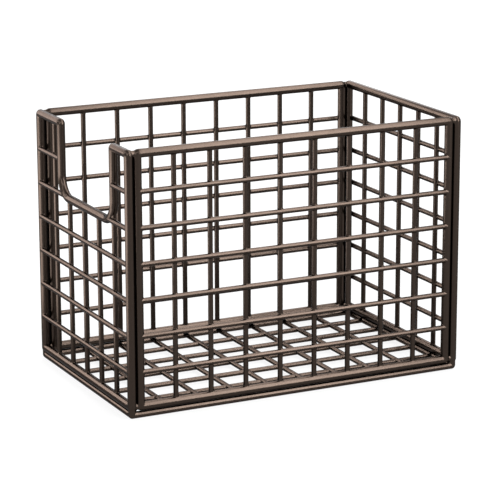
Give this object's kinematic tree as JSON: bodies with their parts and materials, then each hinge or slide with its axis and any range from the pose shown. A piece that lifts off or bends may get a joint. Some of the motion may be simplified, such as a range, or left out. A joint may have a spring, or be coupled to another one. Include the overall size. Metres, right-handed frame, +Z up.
{
  "type": "storage basket",
  "caption": "Open rectangular storage basket of welded wire panels with thick wire frames, and a U-shaped dip in one short wall to reach in over.",
  "frame": {"origin": "centre of the basket's outline, on the surface it stands on", "axes": "+Z up; +X along the long walls, away from the wall with the dip; -Y is the side of the front wall"},
  "size_m": [0.307, 0.1944, 0.2212],
  "materials": {
    "frame_wire_coat": "satin bronze powder coat",
    "mat_wire_coat": "satin bronze powder coat"
  },
  "bodies": {
    "root": {"front_frame": "frame_wire_coat", "front_upright_1": "mat_wire_coat", "front_upright_2": "mat_wire_coat", "front_upright_3": "mat_wire_coat", "front_upright_4": "mat_wire_coat", "front_upright_5": "mat_wire_coat", "front_upright_6": "mat_wire_coat", "front_upright_7": "mat_wire_coat", "front_upright_8": "mat_wire_coat", "front_rail_1": "mat_wire_coat", "front_rail_2": "mat_wire_coat", "front_rail_3": "mat_wire_coat", "front_rail_4": "mat_wire_coat", "front_rail_5": "mat_wire_coat", "front_rail_6": "mat_wire_coat", "back_frame": "frame_wire_coat", "back_upright_1": "mat_wire_coat", "back_upright_2": "mat_wire_coat", "back_upright_3": "mat_wire_coat", "back_upright_4": "mat_wire_coat", "back_upright_5": "mat_wire_coat", "back_upright_6": "mat_wire_coat", "back_upright_7": "mat_wire_coat", "back_upright_8": "mat_wire_coat", "back_rail_1": "mat_wire_coat", "back_rail_2": "mat_wire_coat", "back_rail_3": "mat_wire_coat", "back_rail_4": "mat_wire_coat", "back_rail_5": "mat_wire_coat", "back_rail_6": "mat_wire_coat", "right_frame": "frame_wire_coat", "right_upright_1": "mat_wire_coat", "right_upright_2": "mat_wire_coat", "right_upright_3": "mat_wire_coat", "right_upright_4": "mat_wire_coat", "right_upright_5": "mat_wire_coat", "right_rail_1": "mat_wire_coat", "right_rail_2": "mat_wire_coat", "right_rail_3": "mat_wire_coat", "right_rail_4": "mat_wire_coat", "right_rail_5": "mat_wire_coat", "right_rail_6": "mat_wire_coat", "left_frame": "frame_wire_coat", "left_upright_1": "mat_wire_coat", "left_upright_2": "mat_wire_coat", "left_upright_3": "mat_wire_coat", "left_upright_4": "mat_wire_coat", "left_upright_5": "mat_wire_coat", "left_rail_1_back": "mat_wire_coat", "left_rail_1_front": "mat_wire_coat", "left_rail_2_back": "mat_wire_coat", "left_rail_2_front": "mat_wire_coat", "left_rail_3": "mat_wire_coat", "left_rail_4": "mat_wire_coat", "left_rail_5": "mat_wire_coat", "left_rail_6": "mat_wire_coat", "floor_frame": "frame_wire_coat", "floor_mat": "mat_wire_coat"}
  },
  "joints": []
}
